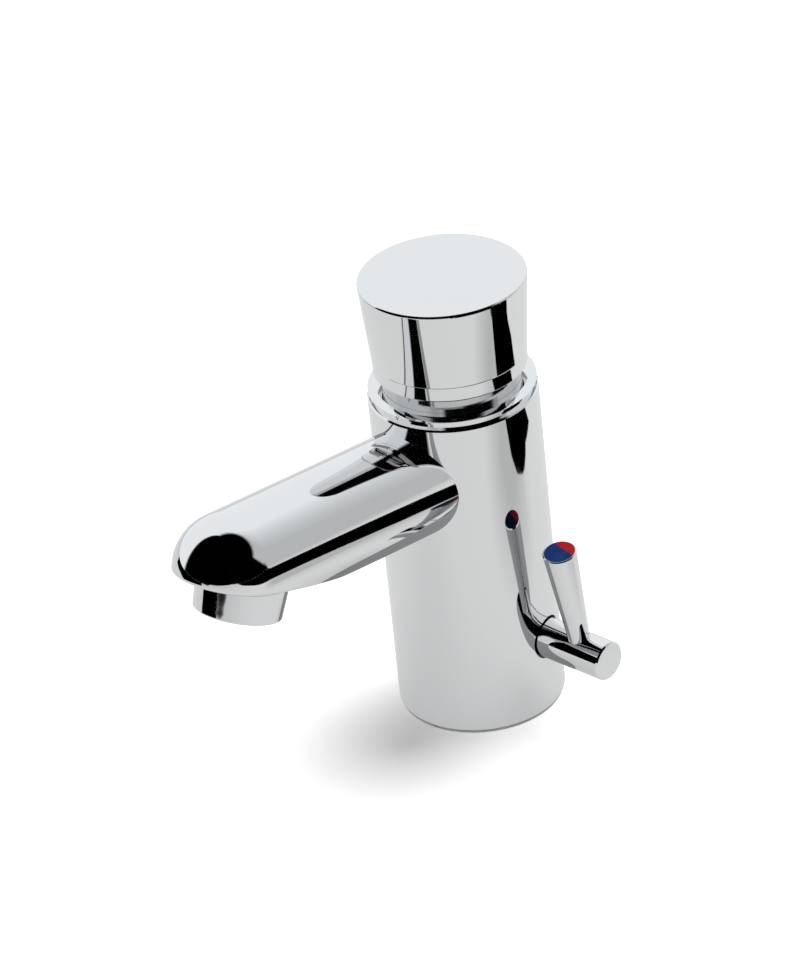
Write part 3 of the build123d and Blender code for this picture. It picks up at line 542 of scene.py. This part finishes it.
class TAP_OT_plate(bpy.types.Operator):
    """Plates the body, button, rings and lever with bright chrome."""

    bl_idname = "tap.plate"
    bl_label = "Chrome plate"

    def execute(self, context):
        settings = context.scene.tap_plating
        cover(CAST_CHROME, plated("chrome_casting", settings, lines=0.4))
        cover(TURNED_CHROME, plated("chrome_turning", settings, wave=0.35))
        cover(ROD_CHROME, plated("chrome_rod", settings, wave=0.5, marks=0.6))
        # Painted shade: a darker, duller plate on the neck, for the shade in the gap under the button
        cover(PAINTED_SHADE_PLATE, plated("plate_painted_shade", settings, colour=settings.neck_shade_colour, dull=0.06))
        cover(BLACK_PLATE, plated("plate_black", settings, colour=settings.gland_colour, dull=0.2))
        return {"FINISHED"}


class TAP_OT_turn(bpy.types.Operator):
    """Gives brass and steel pieces their turned and drawn finish."""

    bl_idname = "tap.turn"
    bl_label = "Brass and steel"

    def execute(self, context):
        settings = context.scene.tap_metal
        across = Vector((1, 0, 0))
        steel = (settings.steel, settings.steel_stain, settings.steel_roughness)
        cover(BRASS, turned_brass("brass_upright", settings))
        for node in BRASS_ACROSS:
            cover([node], turned_brass("brass_cross", settings, axis=across, centre=middle(node)))
        cover(STEEL, turned("steel_drawn", *steel, settings))
        return {"FINISHED"}


class TAP_OT_spring(bpy.types.Operator):
    """Stands a copy of the return spring in its place, with a mesh of its own."""

    bl_idname = "tap.spring"
    bl_label = "Return spring"

    def execute(self, context):
        rigid = frame["nodes"]["return_spring"]
        wire = rigid.material_slots[0].material
        coils = rigid.data.copy()
        coils.materials.clear()
        spring = new_piece("spring_coils", coils, "tap", wire)
        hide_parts("return_spring")
        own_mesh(spring)
        return {"FINISHED"}


class TAP_OT_mould(bpy.types.Operator):
    """Gives seals, plastic parts, discs and the colour marks their finish."""

    bl_idname = "tap.mould"
    bl_label = "Rubber, plastic and ceramic"

    def execute(self, context):
        settings = context.scene.tap_moulded
        dust = (0.16, 0.155, 0.15)
        shade = (0.60, 0.58, 0.53)
        grey_shade = (0.25, 0.25, 0.26)
        rubber = {"roughness": 0.62, "bloom_amount": 0.30, "ior": 1.52}
        acetal = {"roughness": 0.42, "bloom_amount": 0.35, "ior": 1.48}
        nylon = {"roughness": 0.45, "bloom_amount": 0.4}
        lapped = {"roughness": 0.16, "bloom_amount": 0.2, "ior": 1.7, "height": 0.1}
        inlay = {"roughness": 0.30, "bloom_amount": 0.7, "ior": 1.45, "gloss": 0.18, "height": 0.3}
        blue_dimming, red_dimming = 0.9, 0.75
        cover(RUBBER, moulded("rubber_black", settings.rubber, dust, settings, **rubber))
        cover(FOOT_RUBBER, moulded("rubber_grey", settings.foot, dust, settings, **rubber))
        cover(WHITE_PLASTIC, moulded("acetal_white", settings.white, shade, settings, **acetal))
        cover(GREY_PLASTIC, moulded("acetal_grey", settings.grey, grey_shade, settings, **nylon))
        cover(CERAMIC, moulded("ceramic_lapped", settings.ceramic, shade, settings, **lapped))
        blue = moulded("inlay_blue", settings.cold, settings.cold_shade, settings, **inlay)
        red = moulded("inlay_red", settings.hot, settings.hot_shade, settings, **inlay)
        cover(["index_blue"], darker_in_metal(blue, blue_dimming))
        cover(["index_red"], darker_in_metal(red, red_dimming))
        return {"FINISHED"}


def ridge_mesh(name, middle_x, middle_y, radius, length, pitch, depth, steps):
    """A helical ridge on the wall of an upright bore that starts at the base."""
    bury = 0.05 * MM
    half_foot = 0.43 * pitch
    root = radius + bury
    half = Vector((0, 0, half_foot))
    run_out = steps / 2
    count = int((length / pitch - 1) * steps)
    points, faces = [], []
    for index in range(count + 1):
        angle = 2 * pi * index / steps
        outwards = Vector((cos(angle), sin(angle), 0))
        centre = Vector((middle_x, middle_y, pitch * (0.5 + index / steps)))
        crest = radius - depth * min(1.0, index / run_out, (count - index) / run_out)
        foot = centre + outwards * root
        points += [foot - half, centre + outwards * crest, foot + half]
    for index in range(0, 3 * count, 3):
        for first, second in ((0, 1), (1, 2), (2, 0)):
            faces.append((index + first, index + second, index + second + 3, index + first + 3))
    faces += [(2, 1, 0), (3 * count, 3 * count + 1, 3 * count + 2)]
    mesh = bpy.data.meshes.new(name)
    mesh.from_pydata(points, [], faces)
    return mesh


class TAP_OT_thread(bpy.types.Operator):
    """Forms the threads in the inlets and in the stud hole, as ridges on their walls."""

    bl_idname = "tap.thread"
    bl_label = "Threads"

    def execute(self, context):
        settings = context.scene.tap_thread
        metal = context.scene.tap_metal
        pitches = {
            "hot_inlet": settings.inlet_pitch,
            "cold_inlet": settings.inlet_pitch,
            "fixing_stud": settings.stud_pitch,
        }
        for mount in frame["record"]["mounts"]:
            if mount["name"] not in pitches:
                continue
            name = mount["name"] + "_thread"
            pitch = pitches[mount["name"]]
            depth = pitch * settings.depth_share
            across, along, _ = mount["pos_m"]
            radius, length = mount["dims"]["r_mm"] * MM, mount["dims"]["length_mm"] * MM
            mesh = ridge_mesh(name, across, along, radius, length, pitch, depth, settings.steps)
            finish = turned_brass(name, metal, centre=(across, along, 0))
            new_piece(name, mesh, "tap", finish)
        return {"FINISHED"}


# Stage

def camera_axes(settings):
    """Right, up and back of the camera's picture."""
    azimuth, elevation, roll = settings.azimuth, settings.elevation, settings.roll
    back = Vector((sin(azimuth) * cos(elevation), -cos(azimuth) * cos(elevation), sin(elevation)))
    level = Vector((cos(azimuth), sin(azimuth), 0))
    steep = back.cross(level)
    right = level * cos(roll) - steep * sin(roll)
    up = level * sin(roll) + steep * cos(roll)
    return right, up, back


def add_camera(settings):
    """The camera at the photograph's place."""
    right, up, back = camera_axes(settings)
    target = Vector((0, 0, settings.target_height)) + right * settings.shift_right + up * settings.shift_up
    camera = bpy.data.objects.new("camera", bpy.data.cameras.new("camera"))
    bpy.context.scene.collection.objects.link(camera)
    turn = Matrix((right, up, back)).transposed().to_4x4()
    camera.matrix_world = Matrix.Translation(target + back * settings.distance) @ turn
    camera.data.sensor_fit = "AUTO"
    camera.data.lens = settings.focal_pixels * camera.data.sensor_width / max(PHOTO_SIZE)
    camera.data.clip_start = 0.05
    camera.data.clip_end = 50
    bpy.context.scene.camera = camera


def flat_mesh(name, outline, height):
    """A level face."""
    mesh = bpy.data.meshes.new(name)
    mesh.from_pydata([(x, y, height) for x, y in outline], [], [tuple(range(len(outline)))])
    return mesh


def stage_piece(name, mesh, material):
    """A piece of the studio."""
    piece = bpy.data.objects.new(name, mesh)
    bpy.context.scene.collection.objects.link(piece)
    piece.data.materials.append(material)
    return piece


def matt(material):
    """The Principled shader of a new material, without any gloss."""
    material.use_nodes = True
    shader = material.node_tree.nodes["Principled BSDF"]
    shader.inputs["Specular IOR Level"].default_value = 0.0
    return shader


def floor_material(settings):
    """Pale floor, whiter away from the tap, whose compact shadow is cast by the softbox and deepened by
    painted shadow; greyer where the plate mirrors it, with a spot of painted shade there and painted
    darkening in a second mirror.
    """
    material = bpy.data.materials.new("floor_white")
    shader = matt(material)
    tree = material.node_tree
    mottle_scale, mottle_start, mottle_full, mottle_amount = 90.0, 0.3, 0.7, 0.03
    mottle_colour = (0.80, 0.80, 0.80, 1)
    place = add_node(tree, "ShaderNodeTexCoord").outputs["Object"]
    path = add_node(tree, "ShaderNodeLightPath").outputs

    lumps = noise(tree, place, mottle_scale, 3.0)
    mottle = spread(tree, lumps, mottle_start, mottle_full, 0.0, mottle_amount)
    tint = blend_colours(tree, mottle, rgba(settings.floor), mottle_colour)
    # Painted reflection: in a second mirror the floor's colour and lift are taken down further
    again = spread(tree, path["Glossy Depth"], 1.0, 2.0, 1.0, settings.floor_again)
    mirrored = blend_colours(tree, again, BLACK, rgba(settings.floor_in_metal))
    colour = blend_colours(tree, path["Is Glossy Ray"], tint, mirrored)

    # Painted shadow: the lift that the camera sees is smaller near the tap
    off_painted_shadow = vector_maths(tree, "DISTANCE", place, PAINTED_SHADOW_MIDDLE, "Value")
    whiter = spread(
        tree, off_painted_shadow, PAINTED_SHADOW_CORE, settings.floor_lift_width, settings.floor_lift_in_painted_shadow,
        settings.floor_lift,
    )
    lift = maths(tree, "MULTIPLY", path["Is Camera Ray"], whiter)
    # Painted shade: round a spot beside the tap, the floor that the plate mirrors is lifted less
    off_painted_shade = vector_maths(tree, "DISTANCE", place, PAINTED_SHADE_MIDDLE, "Value")
    shade = spread(tree, off_painted_shade, PAINTED_SHADE_CORE, PAINTED_SHADE_EDGE, settings.floor_painted_shade, 1.0)
    shade = maths(tree, "MULTIPLY", shade, again)
    whiter_in_metal = maths(tree, "MULTIPLY", shade, settings.floor_lift_in_metal)
    lift_in_metal = maths(tree, "MULTIPLY", path["Is Glossy Ray"], whiter_in_metal)

    tree.links.new(colour, shader.inputs["Base Color"])
    tree.links.new(maths(tree, "ADD", lift, lift_in_metal), shader.inputs["Emission Strength"])
    shader.inputs["Emission Color"].default_value = WHITE
    shader.inputs["Roughness"].default_value = 0.9
    return material


def add_card(name, outline):
    """A black card that only the plate shows."""
    material = bpy.data.materials.new(name)
    shader = matt(material)
    shader.inputs["Base Color"].default_value = BLACK
    shader.inputs["Roughness"].default_value = 1.0
    card = stage_piece(name, flat_mesh(name, outline, CARD_LIFT), material)
    card.visible_camera = False
    card.visible_diffuse = False
    card.visible_transmission = False
    card.visible_shadow = False


def direction(azimuth, elevation):
    """Unit vector that points to a place in the surround."""
    level = cos(elevation)
    return (cos(azimuth) * level, sin(azimuth) * level, sin(elevation))


def outside(tree, ray, middle_ray, width):
    """0 inside a round patch of the surround and 1 outside of it."""
    angle = maths(tree, "ARCCOSINE", vector_maths(tree, "DOT_PRODUCT", ray, middle_ray, "Value"))
    return spread(tree, angle, width - SHARP_EDGE, width + SHARP_EDGE)


def mirrored_once(tree, ray, settings):
    """How bright the plate mirrors the surround, which has a dim side, a dark side and a dark canopy."""
    parts = add_node(tree, "ShaderNodeSeparateXYZ", {"Vector": ray}).outputs
    azimuth = maths(tree, "ARCTAN2", parts["Y"], parts["X"])
    height = maths(tree, "ARCSINE", parts["Z"])
    widening = maths(tree, "MULTIPLY", maths(tree, "MULTIPLY", height, height), settings.dark_lean)
    start_side = maths(tree, "ADD", azimuth, widening)
    start = spread(tree, start_side, settings.dark_start - SOFT_EDGE, settings.dark_start, 1.0, 0.0)
    end_side = maths(tree, "ADD", azimuth, maths(tree, "MULTIPLY", height, END_LEAN))
    end = spread(tree, end_side, settings.dark_end, settings.dark_end + SOFT_EDGE)
    side = spread(tree, azimuth, DIM_START, DIM_END, settings.dim, 1.0)
    beside = maths(tree, "MAXIMUM", start, maths(tree, "MULTIPLY", end, side))
    canopy = direction(settings.dark_azimuth, settings.dark_elevation)
    return maths(tree, "MULTIPLY", beside, outside(tree, ray, canopy, settings.dark_spread))


def mirrored_again(tree, ray, settings):
    """How bright the surround is in a second mirror, with a dark core and a dark side for the neck's gap."""
    core = direction(settings.core_azimuth, settings.core_elevation)
    off_core = outside(tree, ray, core, settings.core_spread)
    off_neck = outside(tree, ray, NECK_SIDE, NECK_SPREAD)
    return maths(tree, "MULTIPLY", maths(tree, "MULTIPLY", off_core, off_neck), SECOND_MIRROR_LIGHT)


def light_world(settings):
    """Soft even light, a white background, and a surround of its own for what the plate mirrors."""
    world = bpy.data.worlds.new("studio")
    bpy.context.scene.world = world
    world.use_nodes = True
    tree = world.node_tree
    tree.nodes.clear()
    ray = add_node(tree, "ShaderNodeTexCoord").outputs["Generated"]
    path = add_node(tree, "ShaderNodeLightPath").outputs
    again = maths(tree, "GREATER_THAN", path["Glossy Depth"], FIRST_MIRROR)
    haze = maths(tree, "MULTIPLY", again, mirrored_again(tree, ray, settings))
    bright = maths(tree, "MAXIMUM", mirrored_once(tree, ray, settings), haze)
    soft, mirrored, white = (
        add_node(tree, "ShaderNodeBackground", {"Color": colour, "Strength": strength}).outputs[0]
        for colour, strength in ((WHITE, settings.sky), (MIRRORED_TINT, bright), (WHITE, 1.0))
    )
    lit = add_node(tree, "ShaderNodeMixShader", {0: path["Is Glossy Ray"], 1: soft, 2: mirrored}).outputs[0]
    shown = add_node(tree, "ShaderNodeMixShader", {0: path["Is Camera Ray"], 1: lit, 2: white}).outputs[0]
    add_node(tree, "ShaderNodeOutputWorld", {"Surface": shown})


def add_softbox(settings):
    """The lamp overhead, which the plate doesn't mirror."""
    lamp = bpy.data.lights.new("softbox", "AREA")
    lamp.shape = "RECTANGLE"
    lamp.size, lamp.size_y = LAMP_SIDE, LAMP_SIDE
    lamp.energy = settings.key
    softbox = bpy.data.objects.new("softbox", lamp)
    bpy.context.scene.collection.objects.link(softbox)
    softbox.visible_glossy = False
    softbox.location = LAMP_PLACE
    softbox.rotation_mode = "QUATERNION"
    softbox.rotation_quaternion = (LAMP_PLACE - LAMP_TARGET).to_track_quat("Z", "Y")


class TAP_OT_stage(bpy.types.Operator):
    """Sets up the camera, floor, cards, surround and lamp."""

    bl_idname = "tap.stage"
    bl_label = "Studio"

    def execute(self, context):
        settings = context.scene.tap_studio
        context.scene.view_settings.view_transform = "Standard"
        add_camera(settings)
        near, far = -FLOOR_HALF, FLOOR_HALF
        corners = [(near, near), (far, near), (far, far), (near, far)]
        stage_piece("floor", flat_mesh("floor", corners, 0), floor_material(settings))
        light_world(settings)
        for name, outline in CARDS.items():
            add_card(name, outline)
        add_softbox(settings)
        return {"FINISHED"}


class TAP_PT_panel(bpy.types.Panel):
    """Lists the steps that dress the tap."""

    bl_idname = "TAP_PT_panel"
    bl_label = "Push timed tap"
    bl_space_type = "VIEW_3D"
    bl_region_type = "UI"
    bl_category = "Tap"

    def draw(self, context):
        for operator in OPERATORS:
            self.layout.operator(operator.bl_idname)
        for name, group in SETTINGS.items():
            box = self.layout.box()
            for field in group.__annotations__:
                box.prop(getattr(context.scene, name), field)


SETTINGS = {
    "tap_plating": PlatingSettings,
    "tap_metal": MetalSettings,
    "tap_moulded": MouldedSettings,
    "tap_thread": ThreadSettings,
    "tap_studio": StudioSettings,
}
OPERATORS = [TAP_OT_plate, TAP_OT_turn, TAP_OT_spring, TAP_OT_mould, TAP_OT_thread, TAP_OT_stage]


def register():
    """Adds the settings, operators and panel to Blender."""
    for group in (*SETTINGS.values(), *OPERATORS, TAP_PT_panel):
        bpy.utils.register_class(group)
    for name, group in SETTINGS.items():
        setattr(bpy.types.Scene, name, PointerProperty(type=group))


def unregister():
    """Takes them out again."""
    for name in SETTINGS:
        delattr(bpy.types.Scene, name)
    for group in (TAP_PT_panel, *reversed(OPERATORS), *reversed(list(SETTINGS.values()))):
        bpy.utils.unregister_class(group)


def main():
    """Dresses the tap."""
    register()
    for operator in OPERATORS:
        family, name = operator.bl_idname.split(".")
        getattr(getattr(bpy.ops, family), name)()


if __name__ == "__main__":
    main()
